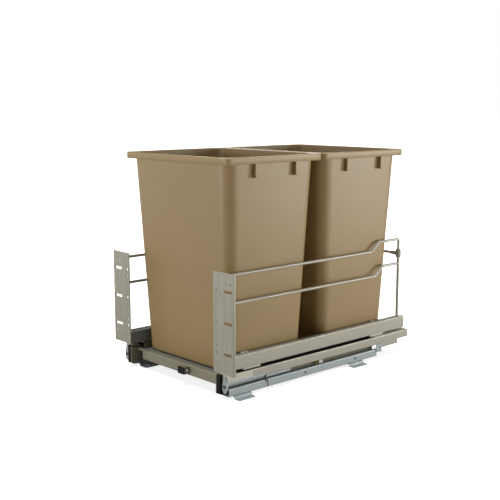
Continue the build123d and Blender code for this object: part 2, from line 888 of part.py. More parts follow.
def ledge_screws():
    """Bright screw heads on the ledges, in pairs near the front and single near the rear."""
    across = ledge_inner + ledge_screw_inset
    depths = [ledge_screw_first, ledge_screw_first + ledge_screw_pitch, panel_rear - ledge_screw_rear]
    screws = []
    for depth in depths:
        head = rod_z(ledge_screw_radius, ledge_top(), ledge_top() + ledge_screw_head, across, depth)
        head = fillet(head.edges().group_by(Axis.Z)[-1], ledge_screw_head / 2)
        screws += [head, mirrored(head)]
    return Compound(screws)


pieces = {
    "bin_front": waste_bin(front_bin),
    "bin_rear": waste_bin(rear_bin),
    "front_bar": front_bar(),
    "seat_strip": seat_strip(),
    "middle_support": middle_support(),
    "rear_bar": rear_bar(),
    "rear_cross_wire": rear_cross_wire(),
    "bracket_studs": bracket_studs(),
    "ledge_screws": ledge_screws(),
    "bar_socket": bar_socket(),
    "socket_insert": socket_insert(),
    "socket_screw": socket_screw(),
}

sided = {
    "side_panel": side_panel(),
    "side_ledge": side_ledge(),
    "panel_spacers": panel_spacers(),
    "drawer_rail": drawer_rail(),
    "door_bracket": door_bracket(),
    "upper_gallery_wire": upper_gallery_wire(),
    "lower_gallery_wire": lower_gallery_wire(),
    "wire_clip": wire_clip(),
    "front_coupling": front_coupling(),
    "guide_strip": guide_strip(),
    "lock_housing": lock_housing(),
    "release_lever": release_lever(),
    "lever_pivot": lever_pivot(),
    "cabinet_rail": cabinet_rail(),
    "foot_front": foot(front_foot),
    "foot_rear": foot(rear_foot),
    "foot_rivets": foot_rivets(),
    "middle_runner": middle_runner(),
    "runner_buffer": runner_buffer(),
    "buffer_pin": buffer_pin(),
    "lower_carriage": carriage(True),
    "upper_carriage": carriage(False),
    "lower_rollers": carriage_rollers(True),
    "upper_rollers": carriage_rollers(False),
}

for name, solid in sided.items():
    pieces[name + "_right"] = solid
    pieces[name + "_left"] = mirrored(solid)

os.makedirs("parts", exist_ok=True)
for name, solid in pieces.items():
    export_step(Pos(0, -part_middle, 0) * solid, f"parts/{name}.step")
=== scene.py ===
import json
import math

import bmesh
import bpy
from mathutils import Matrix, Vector


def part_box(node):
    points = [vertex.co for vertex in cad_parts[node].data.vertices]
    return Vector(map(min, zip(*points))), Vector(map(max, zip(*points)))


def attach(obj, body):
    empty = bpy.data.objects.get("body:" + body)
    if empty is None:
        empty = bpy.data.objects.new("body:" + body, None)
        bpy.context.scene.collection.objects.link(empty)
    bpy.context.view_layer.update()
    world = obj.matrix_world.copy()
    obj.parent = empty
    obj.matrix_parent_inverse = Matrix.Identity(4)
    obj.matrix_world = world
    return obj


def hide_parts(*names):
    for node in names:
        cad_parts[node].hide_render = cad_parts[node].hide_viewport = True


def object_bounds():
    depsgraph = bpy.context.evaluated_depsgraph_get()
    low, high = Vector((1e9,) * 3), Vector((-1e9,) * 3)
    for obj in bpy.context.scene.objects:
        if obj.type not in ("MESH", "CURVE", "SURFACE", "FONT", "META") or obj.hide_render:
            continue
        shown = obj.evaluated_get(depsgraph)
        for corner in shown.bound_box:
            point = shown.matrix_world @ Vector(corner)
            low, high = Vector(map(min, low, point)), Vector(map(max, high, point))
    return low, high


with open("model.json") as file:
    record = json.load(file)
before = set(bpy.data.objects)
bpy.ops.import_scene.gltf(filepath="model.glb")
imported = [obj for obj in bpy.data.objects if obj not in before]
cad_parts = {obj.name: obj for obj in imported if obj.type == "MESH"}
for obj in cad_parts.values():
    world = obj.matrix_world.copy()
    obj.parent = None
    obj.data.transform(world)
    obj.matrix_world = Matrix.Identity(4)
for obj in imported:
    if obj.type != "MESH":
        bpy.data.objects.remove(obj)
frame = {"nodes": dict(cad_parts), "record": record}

cadBox = [list(corner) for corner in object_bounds()]
nodes = frame["nodes"]
bodies = frame["record"]["behaviour"]["bodies"]
bodyOf = {node: body for body, members in bodies.items() for node in members}
slotOf = {part["node"]: part["material_slot"] for part in frame["record"]["subparts"]}
mm = 0.001
halfDepth = cadBox[1][1] / mm  # the model's Y runs from minus this to plus this


def linear(hexText):
    # sRGB to linear
    channels = [int(hexText[i:i + 2], 16) / 255 for i in (0, 2, 4)]
    return (*[c / 12.92 if c <= 0.04045 else ((c + 0.055) / 1.055) ** 2.4 for c in channels], 1.0)


def addNode(tree, kind, settings=None, links=None):
    node = tree.nodes.new(kind)
    for key, value in (settings or {}).items():
        if isinstance(key, str) and hasattr(node, key):
            setattr(node, key, value)
        else:
            node.inputs[key].default_value = value
    for key, (source, output) in (links or {}).items():
        tree.links.new(source.outputs[output], node.inputs[key])
    return node


def newMaterial(name, **values):
    material = bpy.data.materials.new(name)
    material.use_nodes = True
    tree = material.node_tree
    shader = tree.nodes["Principled BSDF"]
    for key, value in values.items():
        shader.inputs[key].default_value = value
    place = addNode(tree, "ShaderNodeTexCoord")
    return material, tree, shader, place


mixFactor, mixFirst, mixSecond, mixResult = 0, 6, 7, 2  # sockets of a Mix node for colours


def dress(tree, shader, kind, tonePattern, sheenPattern):
    # colour follows one pattern, roughness and bump follow the other
    tone = addNode(tree, "ShaderNodeMix", {"data_type": "RGBA", mixFirst: linear(kind["colour"]),
                                           mixSecond: linear(kind["shade"])},
                   {mixFactor: (tonePattern, "Fac")})
    sheen = addNode(tree, "ShaderNodeMapRange", {"To Min": kind["roughness"] - kind["glossier"],
                                                 "To Max": kind["roughness"] + kind["duller"]},
                    {"Value": (sheenPattern, "Fac")})
    tree.links.new(tone.outputs[mixResult], shader.inputs["Base Color"])
    tree.links.new(sheen.outputs["Result"], shader.inputs["Roughness"])
    if "bump" in kind:
        bump = addNode(tree, "ShaderNodeBump", {"Strength": kind["bump"], "Distance": kind["bumpMm"] * mm},
                       {"Height": (sheenPattern, "Fac")})
        tree.links.new(bump.outputs["Normal"], shader.inputs["Normal"])


# Polypropylene, injection moulded in a spark-eroded tool: an even warm brown with a soft sheen,
# faint clouds from the melt and a grain that is drawn coarser than the real 0.1 mm so that it shows.
binPlastic = {"name": "polypropyleneMoulded", "colour": "A08555", "shade": "9A7F50", "gloss": 0.65,
              "cloudMm": 70, "cloudDetail": 3.0, "grainMm": 0.8, "grainDetail": 1.0,
              "roughness": 0.45, "glossier": 0.06, "duller": 0.06, "bump": 0.12, "bumpMm": 0.2}


def mouldedPolypropylene(kind):
    material, tree, shader, place = newMaterial(kind["name"], **{"Specular IOR Level": kind["gloss"]})
    cloud = addNode(tree, "ShaderNodeTexNoise",
                    {"Scale": 1 / (kind["cloudMm"] * mm), "Detail": kind["cloudDetail"]},
                    {"Vector": (place, "Object")})
    grain = addNode(tree, "ShaderNodeTexNoise",
                    {"Scale": 1 / (kind["grainMm"] * mm), "Detail": kind["grainDetail"]},
                    {"Vector": (place, "Object")})
    dress(tree, shader, kind, cloud, grain)
    return material


# Sheet steel, powder coated in a satin champagne grey: a slight metallic glint and an orange-peel skin.
# The door brackets were brushed upright before coating, which shows as faint streaks.
# The bars and their socket get a darker copy of the same coat: painted shade.
coatedSteel = {"metallic": 0.35, "cloudDetail": 2.0, "peelDetail": 1.0,
               "roughness": 0.38, "glossier": 0.04, "duller": 0.05, "bump": 0.15, "bumpMm": 0.2}
coatedKinds = {
    "even": {**coatedSteel, "name": "steelPowderCoated", "colour": "AFAB9C", "shade": "A6A293",
             "cloudMm": 45, "stretch": 1.0, "peelMm": 2.2},
    "barShade": {**coatedSteel, "name": "steelPowderCoatedShaded", "colour": "98937F", "shade": "8F8A77",
             "cloudMm": 30, "stretch": 1.0, "peelMm": 2.2},
    "brushed": {**coatedSteel, "name": "steelPowderCoatedBrushed", "colour": "B5B1A1", "shade": "959181",
                "cloudMm": 4, "stretch": 0.06, "peelMm": 1.6},
}


def powderCoatedSteel(kind):
    material, tree, shader, place = newMaterial(kind["name"], Metallic=kind["metallic"])
    upright = addNode(tree, "ShaderNodeMapping", {"Scale": (1.0, 1.0, kind["stretch"])},
                      {"Vector": (place, "Object")})
    cloud = addNode(tree, "ShaderNodeTexNoise",
                    {"Scale": 1 / (kind["cloudMm"] * mm), "Detail": kind["cloudDetail"]},
                    {"Vector": (upright, "Vector")})
    peel = addNode(tree, "ShaderNodeTexNoise",
                   {"Scale": 1 / (kind["peelMm"] * mm), "Detail": kind["peelDetail"]},
                   {"Vector": (place, "Object")})
    dress(tree, shader, kind, cloud, peel)
    return material


# Rolled strip, zinc plated and blue passivated: a cool grey metal with drawn streaks along its length.
# The ledges get a copy of the plating that is rougher, and darker as painted shade.
zincSteel = {"metallic": 0.3, "streakMm": 1.6, "streakLengthMm": 60, "streakDetail": 3.0,
             "glossier": 0.08, "duller": 0.1}
zincKinds = {
    "bright": {**zincSteel, "name": "steelZincPlated", "colour": "AEB6B5", "shade": "9EA7A8",
               "roughness": 0.46},
    "dullShaded": {**zincSteel, "name": "steelZincPlatedDullShaded", "colour": "848A8A", "shade": "767D7E",
             "roughness": 0.5},
}


def zincPlatedSteel(kind):
    material, tree, shader, place = newMaterial(kind["name"], Metallic=kind["metallic"])
    drawn = addNode(tree, "ShaderNodeMapping",
                    {"Scale": (1.0, kind["streakMm"] / kind["streakLengthMm"], 1.0)},
                    {"Vector": (place, "Object")})
    streak = addNode(tree, "ShaderNodeTexNoise",
                     {"Scale": 1 / (kind["streakMm"] * mm), "Detail": kind["streakDetail"]},
                     {"Vector": (drawn, "Vector")})
    dress(tree, shader, kind, streak, streak)
    return material


# Moulded small parts: nylon or acetal, dull, with a fine even grain that keeps the surface from looking wet.
smallMoulding = {"grainMm": 1.2, "grainDetail": 2.0, "glossier": 0.06, "duller": 0.06,
                 "bump": 0.1, "bumpMm": 0.2}
mouldedKinds = {
    "black_plastic": {**smallMoulding, "name": "nylonBlackMoulded", "colour": "131411", "shade": "0D0E0B",
                      "roughness": 0.6, "gloss": 0.2},
    "grey_plastic": {**smallMoulding, "name": "acetalGreyMoulded", "colour": "A29D91", "shade": "989386",
                     "roughness": 0.45, "gloss": 0.5},
    "cream_plastic": {**smallMoulding, "name": "acetalCreamMoulded", "colour": "CDC8B8", "shade": "C3BEAD",
                      "roughness": 0.5, "gloss": 0.5},
    "white_nylon": {**smallMoulding, "name": "nylonNaturalMoulded", "colour": "D3CFC3", "shade": "C9C5B8",
                    "roughness": 0.45, "gloss": 0.5},
}


def mouldedSmallPart(kind):
    material, tree, shader, place = newMaterial(kind["name"], **{"Specular IOR Level": kind["gloss"]})
    grain = addNode(tree, "ShaderNodeTexNoise",
                    {"Scale": 1 / (kind["grainMm"] * mm), "Detail": kind["grainDetail"]},
                    {"Vector": (place, "Object")})
    dress(tree, shader, kind, grain, grain)
    return material


# Small metal parts: turned and plated screws, a brass pin and phosphated runners,
# with fine marks that break up the glint.
smallMetal = {"markDetail": 2.0, "glossier": 0.05, "duller": 0.08}
metalKinds = {
    "bright_steel": {**smallMetal, "name": "steelBrightPlated", "colour": "F0F1F2", "shade": "E2E4E6",
                     "roughness": 0.25, "metallic": 0.35, "markMm": 0.7},
    "brass": {**smallMetal, "name": "brassTurned", "colour": "C9A45A", "shade": "AE8A45",
              "roughness": 0.3, "metallic": 0.8, "markMm": 0.7},
    "dark_steel": {**smallMetal, "name": "steelPhosphated", "colour": "6E6C5A", "shade": "5C5B4B",
                   "roughness": 0.5, "metallic": 0.5, "markMm": 2.5},
}


def workedMetal(kind):
    material, tree, shader, place = newMaterial(kind["name"], Metallic=kind["metallic"])
    marks = addNode(tree, "ShaderNodeTexNoise",
                    {"Scale": 1 / (kind["markMm"] * mm), "Detail": kind["markDetail"]},
                    {"Vector": (place, "Object")})
    dress(tree, shader, kind, marks, marks)
    return material


materialOf = {"bin_plastic": mouldedPolypropylene(binPlastic),
              "painted_steel": powderCoatedSteel(coatedKinds["even"]),
              "zinc_steel": zincPlatedSteel(zincKinds["bright"])}
for slot, kind in mouldedKinds.items():
    materialOf[slot] = mouldedSmallPart(kind)
for slot, kind in metalKinds.items():
    materialOf[slot] = workedMetal(kind)
brushedPaint = powderCoatedSteel(coatedKinds["brushed"])
# a darker copy of the coat for the bars and socket: painted shade
shadedBarPaint = powderCoatedSteel(coatedKinds["barShade"])
# a rougher, darker copy of the plating for the side ledges: the darkness is painted shade
dullShadedZinc = zincPlatedSteel(zincKinds["dullShaded"])
# pieces whose finish differs from the rest of their slot; the bracket studs were coated with the brackets, and
# the bars, socket and side ledges get darker copies of their finish as painted shade
ownFinish = {"door_bracket_left": brushedPaint, "door_bracket_right": brushedPaint,
             "bracket_studs": brushedPaint, "front_bar": shadedBarPaint, "rear_bar": shadedBarPaint,
             "bar_socket": shadedBarPaint, "side_ledge_left": dullShadedZinc, "side_ledge_right": dullShadedZinc}
print("materials:", len(bpy.data.materials))


def addPiece(name, mesh, body, slot, *replaced):
    piece = bpy.data.objects.new(name, mesh)
    bpy.context.scene.collection.objects.link(piece)
    if not mesh.materials:
        mesh.materials.append(materialOf[slot])
    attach(piece, body)
    if replaced:
        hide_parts(*replaced)


def settled(piece):
    # the evaluated result as a plain mesh, with the modifiers taken off
    graph = bpy.context.evaluated_depsgraph_get()
    mesh = bpy.data.meshes.new_from_object(piece.evaluated_get(graph))
    piece.modifiers.clear()
    return mesh


def meshFrom(name, build):
    form = bmesh.new()
    build(form)
    bmesh.ops.recalc_face_normals(form, faces=form.faces)
    mesh = bpy.data.meshes.new(name)
    form.to_mesh(mesh)
    form.free()
    return mesh


def smoothed(mesh, degrees):
    mesh.shade_smooth()
    mesh.set_sharp_from_angle(angle=math.radians(degrees))
    return mesh


def boxMm(name):
    return [Vector(corner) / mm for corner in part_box(name)]


# Bins: one moulding each, drawn as rings from the inside floor over the rim to the underside.
# skirtEdge lists the inset and rise of the rings round the rim's lower edge.
binShape = {"width": 347.5, "depth": 272.0, "top": 489.0, "floor": 40.2, "wall": 2.2, "draft": 2.82,
            "overhang": 10.0, "skirt": 13.8, "skirtEdge": ((0, 0.5), (0.2, 0.15), (0.6, 0)),
            "rimCorner": 13.0, "topCorner": 30.0, "floorCorner": 25.0, "floorEdge": 10.0, "rimEdge": 1.5,
            "cornerSteps": 10, "edgeSteps": 4, "insideSteps": 7, "outsideSteps": 8, "smoothDegrees": 32,
            "setback": 14.8, "gap": 2.4}
lugShape = {"spacing": 114.0, "width": 5.5, "height": 28.5, "reach": 8.6, "slant": 1.6, "belowTop": 1.1,
            "edge": 0.5, "edgeSegments": 2, "edgeProfile": 0.5}


def wallInset(level):
    s = binShape
    return s["overhang"] + math.tan(math.radians(s["draft"])) * (s["top"] - s["skirt"] - level)


def wallCorner(level):
    s = binShape
    along = (level - s["floor"]) / (s["top"] - s["floor"])
    return s["floorCorner"] + along * (s["topCorner"] - s["floorCorner"])


def binRings():
    # inset from the rim's outline, level and corner radius of each ring
    s = binShape
    arc = [math.radians(90 * step / s["edgeSteps"]) for step in range(s["edgeSteps"] + 1)]
    rings = []
    inFloor = s["floor"] + s["wall"]
    inEdge = s["floorEdge"] - s["wall"]
    for a in arc:  # inside floor edge
        level = inFloor + inEdge * (1 - math.cos(a))
        inset = wallInset(inFloor + inEdge) + s["wall"] + inEdge * (1 - math.sin(a))
        rings.append((inset, level, wallCorner(inFloor) - s["wall"]))
    lip = s["top"] - s["rimEdge"]
    for step in range(1, s["insideSteps"] + 1):  # inside wall
        level = inFloor + inEdge + (lip - inFloor - inEdge) * step / s["insideSteps"]
        rings.append((wallInset(level) + s["wall"], level, wallCorner(level) - s["wall"]))
    inner = wallInset(lip) + s["wall"]
    corner = wallCorner(lip) - s["wall"]
    for a in arc[1:]:  # inner edge of the rim
        rings.append((inner - s["rimEdge"] * (1 - math.cos(a)), lip + s["rimEdge"] * math.sin(a), corner))
    for a in reversed(arc):  # outer edge of the rim
        rings.append((s["rimEdge"] * (1 - math.cos(a)), lip + s["rimEdge"] * math.sin(a), s["rimCorner"]))
    under = s["top"] - s["skirt"]
    for inset, rise in s["skirtEdge"]:
        rings.append((inset, under + rise, s["rimCorner"]))
    ceiling = s["top"] - s["wall"]
    for level in (under, ceiling):  # hollow of the rim
        rings.append((s["wall"], level, s["rimCorner"] - s["wall"]))
    for step in range(s["outsideSteps"] + 1):  # outside wall
        level = ceiling + (s["floor"] + s["floorEdge"] - ceiling) * step / s["outsideSteps"]
        rings.append((wallInset(level), level, wallCorner(level)))
    for a in arc[1:]:  # outside floor edge
        level = s["floor"] + s["floorEdge"] * (1 - math.sin(a))
        inset = wallInset(s["floor"] + s["floorEdge"]) + s["floorEdge"] * (1 - math.cos(a))
        rings.append((inset, level, s["floorCorner"]))
    return rings


def ringPoints(inset, level, corner, middle):
    s = binShape
    across = s["width"] / 2 - inset - corner
    along = s["depth"] / 2 - inset - corner
    points = []
    for quarter, (sx, sy) in enumerate(((1, 1), (-1, 1), (-1, -1), (1, -1))):
        for step in range(s["cornerSteps"] + 1):
            a = math.radians(90 * (quarter + step / s["cornerSteps"]))
            x = sx * across + corner * math.cos(a)
            y = middle + sy * along + corner * math.sin(a)
            points.append(Vector((x, y, level)) * mm)
    return points


def addLugs(form, middle):
    # the ribs below the rim, two on either side
    s, g = binShape, lugShape
    top = s["top"] - g["belowTop"]
    bottom = s["top"] - s["skirt"] - g["height"]
    reach = s["width"] / 2 - s["overhang"] + g["reach"]
    root = s["width"] / 2 - wallInset(bottom) - s["wall"] / 2
    slant = g["slant"]
    outline = [(root, top), (root, bottom), (reach - slant, bottom), (reach, bottom + slant), (reach, top)]
    for side in (1, -1):
        for lug in (-g["spacing"] / 2, g["spacing"] / 2):
            start = middle + lug - g["width"] / 2
            near = [form.verts.new(Vector((side * x, start, z)) * mm) for x, z in outline]
            far = [form.verts.new(Vector((side * x, start + g["width"], z)) * mm) for x, z in outline]
            faces = [form.faces.new(near), form.faces.new(far[::-1])]
            for i in range(len(outline)):
                j = (i + 1) % len(outline)
                faces.append(form.faces.new((near[i], far[i], far[j], near[j])))
            edges = {edge for face in faces for edge in face.edges}
            bmesh.ops.bevel(form, geom=list(edges), offset=g["edge"] * mm, segments=g["edgeSegments"],
                            profile=g["edgeProfile"], affect="EDGES")


def makeBin(name, front):
    middle = front + binShape["depth"] / 2 - halfDepth

    def build(form):
        loops = [[form.verts.new(p) for p in ringPoints(*ring, middle)] for ring in binRings()]
        for low, high in zip(loops, loops[1:]):
            for i in range(len(low)):
                j = (i + 1) % len(low)
                form.faces.new((low[i], low[j], high[j], high[i]))
        form.faces.new(loops[0])
        form.faces.new(loops[-1][::-1])
        addLugs(form, middle)

    mesh = smoothed(meshFrom(name + "Moulding", build), binShape["smoothDegrees"])
    addPiece(name + "Moulding", mesh, name, "bin_plastic", name)


makeBin("bin_front", binShape["setback"])
makeBin("bin_rear", binShape["setback"] + binShape["depth"] + binShape["gap"])
print("bins moulded")


# Gallery wires: drawn wire along a bent path, tubed by one node tree. Ends and levels come from the CAD nodes.
wireShape = {"bend": 5.0, "bendSteps": 10, "sides": 20, "smoothDegrees": 50,
             "stepBack": 98.1, "stepRun": 26.0, "rise": 21.0, "lowerShift": 14.0}


def wireTree():
    tree = bpy.data.node_groups.new("bentWire", "GeometryNodeTree")
    tree.interface.new_socket("Path", in_out="INPUT", socket_type="NodeSocketGeometry")
    for name in ("Radius", "Bend"):
        tree.interface.new_socket(name, in_out="INPUT", socket_type="NodeSocketFloat")
    for name in ("Bend Steps", "Sides"):
        tree.interface.new_socket(name, in_out="INPUT", socket_type="NodeSocketInt")
    tree.interface.new_socket("Finish", in_out="INPUT", socket_type="NodeSocketMaterial")
    tree.interface.new_socket("Wire", in_out="OUTPUT", socket_type="NodeSocketGeometry")
    given = addNode(tree, "NodeGroupInput")
    path = addNode(tree, "GeometryNodeMeshToCurve", None, {"Mesh": (given, "Path")})
    bent = addNode(tree, "GeometryNodeFilletCurve", {"mode": "POLY"},
                   {"Curve": (path, "Curve"), "Radius": (given, "Bend"), "Count": (given, "Bend Steps")})
    ring = addNode(tree, "GeometryNodeCurvePrimitiveCircle", None,
                   {"Radius": (given, "Radius"), "Resolution": (given, "Sides")})
    tube = addNode(tree, "GeometryNodeCurveToMesh", {"Fill Caps": True},
                   {"Curve": (bent, "Curve"), "Profile Curve": (ring, "Curve")})
    real = addNode(tree, "GeometryNodeRealizeInstances", None, {"Geometry": (tube, "Mesh")})
    dressed = addNode(tree, "GeometryNodeSetMaterial", None,
                      {"Geometry": (real, "Geometry"), "Material": (given, "Finish")})
    addNode(tree, "NodeGroupOutput", None, {"Wire": (dressed, "Geometry")})
    return tree


def setInputs(modifier, values):
    for item in modifier.node_group.interface.items_tree:
        if item.item_type == "SOCKET" and item.in_out == "INPUT" and item.name in values:
            modifier[item.identifier] = values[item.name]


def grown(mesh, tree, values):
    # what a node tree makes of a mesh of points or edges
    holder = bpy.data.objects.new(mesh.name, mesh)
    bpy.context.scene.collection.objects.link(holder)
    modifier = holder.modifiers.new(tree.name, "NODES")
    modifier.node_group = tree
    setInputs(modifier, values)
    result = settled(holder)
    bpy.data.objects.remove(holder)
    return result


def bentWire(name, points, radius, tree):
    w = wireShape
    path = bpy.data.meshes.new(name + "Path")
    path.from_pydata([Vector(p) * mm for p in points], [(i, i + 1) for i in range(len(points) - 1)], [])
    mesh = grown(path, tree, {"Radius": radius * mm, "Bend": w["bend"] * mm, "Bend Steps": w["bendSteps"],
                              "Sides": w["sides"], "Finish": materialOf["painted_steel"]})
    addPiece(name + "Wire", smoothed(mesh, w["smoothDegrees"]), bodyOf[name], "painted_steel", name)


def makeWires():
    w = wireShape
    tree = wireTree()
    for side in ("right", "left"):
        low, high = boxMm("upper_gallery_wire_" + side)
        x, radius = (low.x + high.x) / 2, (high.x - low.x) / 2
        post, top = high.y - radius, high.z - radius
        step = post - w["stepBack"]
        upper = [(low.y, top - w["rise"]), (step, top - w["rise"]), (step + w["stepRun"], top),
                 (post, top), (post, low.z)]
        bentWire("upper_gallery_wire_" + side, [(x, y, z) for y, z in upper], radius, tree)
        low, high = boxMm("lower_gallery_wire_" + side)
        step, bottom, top = step + w["lowerShift"], low.z + radius, high.z - radius
        lower = [(low.y, bottom), (step, bottom), (step + w["stepRun"], top), (high.y, top)]
        bentWire("lower_gallery_wire_" + side, [(x, y, z) for y, z in lower], radius, tree)
    low, high = boxMm("rear_cross_wire")
    y, z, radius = (low.y + high.y) / 2, (low.z + high.z) / 2, (high.z - low.z) / 2
    bentWire("rear_cross_wire", [(low.x, y, z), (high.x, y, z)], radius, tree)


makeWires()
print("gallery wires bent")


# Ledge screws: domed heads with a cross recess, set on points by one node tree. Places and size come from
# the CAD node; shoulder and slotDepth are shares of the head's height, flat and the slot's sides of its radius.
screwShape = {"shoulder": 0.62, "flat": 0.5, "slotWidth": 0.26, "slotLength": 1.25, "slotDepth": 0.5,
              "sides": 32, "smoothDegrees": 30, "weld": 0.001}


def screwTree():
    tree = bpy.data.node_groups.new("crossScrews", "GeometryNodeTree")
    tree.interface.new_socket("Places", in_out="INPUT", socket_type="NodeSocketGeometry")
    for name in ("Radius", "Height", "Shoulder", "Flat", "Slot Width", "Slot Length", "Slot Depth"):
        tree.interface.new_socket(name, in_out="INPUT", socket_type="NodeSocketFloat")
    tree.interface.new_socket("Sides", in_out="INPUT", socket_type="NodeSocketInt")
    tree.interface.new_socket("Finish", in_out="INPUT", socket_type="NodeSocketMaterial")
    tree.interface.new_socket("Screws", in_out="OUTPUT", socket_type="NodeSocketGeometry")
    given = addNode(tree, "NodeGroupInput")
    rest = addNode(tree, "ShaderNodeMath", {"operation": "SUBTRACT"},
                   {0: (given, "Height"), 1: (given, "Shoulder")})
    lower = addNode(tree, "GeometryNodeMeshCone", None,
                    {"Vertices": (given, "Sides"), "Radius Top": (given, "Radius"),
                     "Radius Bottom": (given, "Radius"), "Depth": (given, "Shoulder")})
    upper = addNode(tree, "GeometryNodeMeshCone", None,
                    {"Vertices": (given, "Sides"), "Radius Top": (given, "Flat"),
                     "Radius Bottom": (given, "Radius"), "Depth": (rest, "Value")})
    above = addNode(tree, "ShaderNodeCombineXYZ", None, {"Z": (given, "Shoulder")})
    dome = addNode(tree, "GeometryNodeTransform", None,
                   {"Geometry": (upper, "Mesh"), "Translation": (above, "Vector")})
    head = addNode(tree, "GeometryNodeMeshBoolean", {"operation": "UNION"})
    for source, output in ((lower, "Mesh"), (dome, "Geometry")):
        tree.links.new(source.outputs[output], head.inputs["Mesh 2"])
    # the slot's bars are centred on the head's top, so they are twice as high as the slot is deep
    twice = addNode(tree, "ShaderNodeMath", {"operation": "MULTIPLY", 1: 2.0}, {0: (given, "Slot Depth")})
    top = addNode(tree, "ShaderNodeCombineXYZ", None, {"Z": (given, "Height")})
    recess = addNode(tree, "GeometryNodeMeshBoolean", {"operation": "DIFFERENCE"}, {"Mesh 1": (head, "Mesh")})
    for across, along in (("Slot Width", "Slot Length"), ("Slot Length", "Slot Width")):
        size = addNode(tree, "ShaderNodeCombineXYZ", None,
                       {"X": (given, across), "Y": (given, along), "Z": (twice, "Value")})
        bar = addNode(tree, "GeometryNodeMeshCube", None, {"Size": (size, "Vector")})
        lifted = addNode(tree, "GeometryNodeTransform", None,
                         {"Geometry": (bar, "Mesh"), "Translation": (top, "Vector")})
        tree.links.new(lifted.outputs["Geometry"], recess.inputs["Mesh 2"])
    spots = addNode(tree, "GeometryNodeInstanceOnPoints", None,
                    {"Points": (given, "Places"), "Instance": (recess, "Mesh")})
    real = addNode(tree, "GeometryNodeRealizeInstances", None, {"Geometry": (spots, "Instances")})
    dressed = addNode(tree, "GeometryNodeSetMaterial", None,
                      {"Geometry": (real, "Geometry"), "Material": (given, "Finish")})
    addNode(tree, "NodeGroupOutput", None, {"Screws": (dressed, "Geometry")})
    return tree


def solidBoxes(name):
    # lowest and highest corner of each loose solid in a CAD node
    form = bmesh.new()
    form.from_mesh(nodes[name].data)
    bmesh.ops.remove_doubles(form, verts=form.verts, dist=screwShape["weld"] * mm)
    left, boxes = set(form.verts), []
    for start in form.verts:
        if start not in left:
            continue
        left.discard(start)
        found, spread = [start], [start]
        while spread:
            for edge in spread.pop().link_edges:
                for vert in edge.verts:
                    if vert in left:
                        left.discard(vert)
                        found.append(vert)
                        spread.append(vert)
        boxes.append([Vector(pick(v.co[i] for v in found) for i in range(3)) for pick in (min, max)])
    form.free()
    return boxes


def makeScrews(name):
    s = screwShape
    boxes = solidBoxes(name)
    low, high = boxes[0]
    radius, height = (high.x - low.x) / 2, high.z - low.z
    places = bpy.data.meshes.new(name + "Places")
    places.from_pydata([((a.x + b.x) / 2, (a.y + b.y) / 2, a.z) for a, b in boxes], [], [])
    mesh = grown(places, screwTree(), {
        "Radius": radius, "Height": height, "Shoulder": height * s["shoulder"], "Flat": radius * s["flat"],
        "Slot Width": radius * s["slotWidth"], "Slot Length": radius * s["slotLength"],
        "Slot Depth": height * s["slotDepth"], "Sides": s["sides"], "Finish": materialOf["bright_steel"]})
    print("screws:", len(boxes))
    addPiece(name + "Cross", smoothed(mesh, s["smoothDegrees"]), bodyOf[name], "bright_steel", name)


makeScrews("ledge_screws")


def useFinishes(mesh, *slots):
    for slot in slots:
        mesh.materials.append(materialOf[slot])


# The stop angle on the outer side of a runner is plated, the runner itself is phosphated.
runnerStop = {"inside": 1.2, "start": 120.0, "end": 196.0, "low": 24.2, "high": 33.2}


def plateStop(mesh, name):
    s = runnerStop
    useFinishes(mesh, "dark_steel", "zinc_steel")
    middle = sum(abs(v.co.x) for v in mesh.vertices) / len(mesh.vertices) / mm
    for face in mesh.polygons:
        x, y, z = face.center / mm
        inLength = s["start"] < y + halfDepth < s["end"]
        if abs(x) > middle + s["inside"] and inLength and s["low"] < z < s["high"]:
            face.material_index = 1


# The groove at the seam of a cabinet rail and its edges are painted black as shade; the stop ear beside it is
# drawn in dark steel.
railSeam = {"start": 107.0, "width": 1.2, "reach": 4.0, "edge": 0.7, "earLength": 6.0, "earSheet": 1.0}


def seamShadeAndDarkEar(mesh, name):
    s = railSeam
    start = boxMm(name)[0].y + s["start"]
    ear = [abs(v.co.x) for v in mesh.vertices if (start - s["earLength"]) * mm < v.co.y < start * mm]
    earFace = max(ear) / mm
    useFinishes(mesh, "zinc_steel", "black_plastic", "dark_steel")
    for face in mesh.polygons:
        out, along = abs(face.center.x) / mm, face.center.y / mm - start
        inSeam = -s["edge"] < along < s["width"] + s["edge"]
        if earFace - s["reach"] < out < earFace - s["earSheet"] / 2 and inSeam:
            face.material_index = 1
        elif -s["earLength"] - s["edge"] < along < s["edge"] and out > earFace - s["earSheet"]:
            face.material_index = 2


# The hollow of a lever pivot is painted black as shade.
pivotBore = {"radius": 1.7, "play": 0.15}


def paintBoreShade(mesh, name):
    low, high = boxMm(name)
    x, z = (low.x + high.x) / 2, (low.z + high.z) / 2
    useFinishes(mesh, "zinc_steel", "black_plastic")
    for face in mesh.polygons:
        spot = face.center / mm
        if math.hypot(spot.x - x, spot.z - z) < pivotBore["radius"] + pivotBore["play"]:
            face.material_index = 1


# The upper flange of a drawer rail is painted black under its panel as shade, so that the slot there looks
# black.
railFlange = {"end": 470.0, "skin": 0.3, "level": 0.9}


def paintFlangeShade(mesh, name):
    s = railFlange
    top = boxMm(name)[1].z
    useFinishes(mesh, "painted_steel", "black_plastic")
    for face in mesh.polygons:
        spot = face.center / mm
        if face.normal.z > s["level"] and spot.z > top - s["skin"] and spot.y + halfDepth < s["end"]:
            face.material_index = 1


partFinish = {"middle_runner": plateStop, "cabinet_rail": seamShadeAndDarkEar, "lever_pivot": paintBoreShade,
              "drawer_rail": paintFlangeShade}


def finishCuts(name):
    # depths at which the faces of a rail are parted, so that a dark finish can start and end there
    if name.startswith("drawer_rail"):
        return [railFlange["end"] - halfDepth]
    if name.startswith("cabinet_rail"):
        seam = boxMm(name)[0].y + railSeam["start"]
        return [seam - railSeam["edge"], seam + railSeam["width"] + railSeam["edge"]]
    return []


